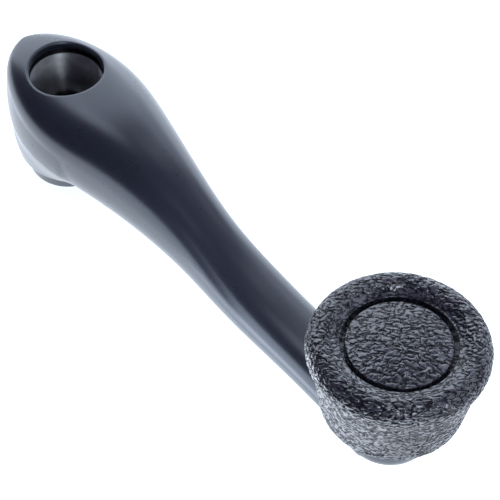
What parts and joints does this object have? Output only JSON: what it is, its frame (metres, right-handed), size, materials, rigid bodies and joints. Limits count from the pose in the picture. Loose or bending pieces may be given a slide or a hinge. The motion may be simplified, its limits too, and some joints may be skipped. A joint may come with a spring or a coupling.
{
  "type": "car window winder handle",
  "caption": "Cranked plastic window winder handle: splined metal socket and screw mouth in a domed hub, S-curved arm, free-spinning grained knob with a snap-in cap.",
  "frame": {"origin": "centre of the hub collar's foot, on the spindle axis, where the handle stands on the door", "axes": "+Z along the spindle axis away from the door, +X along the arm towards the knob, mirror plane XZ"},
  "size_m": [0.1409, 0.0382, 0.0385],
  "materials": {
    "arm_plastic": "satin moulded black with a blue cast",
    "insert_steel": "turned and blackened",
    "pin_steel": "bright zinc",
    "washer_nylon": "natural nylon",
    "spring_steel": "hardened, oiled",
    "clip_steel": "phosphated",
    "knob_plastic": "moulded leather grain, slight sheen",
    "bush_acetal": "natural acetal",
    "cap_plastic": "moulded fine leather grain, slight sheen"
  },
  "bodies": {
    "handle": {"arm": "arm_plastic", "hub_insert": "insert_steel", "knob_pin": "pin_steel", "thrust_washer": "washer_nylon", "wave_washer": "spring_steel", "star_clip": "clip_steel"},
    "knob": {"knob_shell": "knob_plastic", "knob_bush": "bush_acetal", "knob_cap": "cap_plastic"}
  },
  "joints": [
    {"name": "knob_spin", "type": "hinge", "parent": "handle", "child": "knob", "pos_m": [0.1065, 0, 0.027], "axis": [0, 0, 1], "continuous": true}
  ]
}
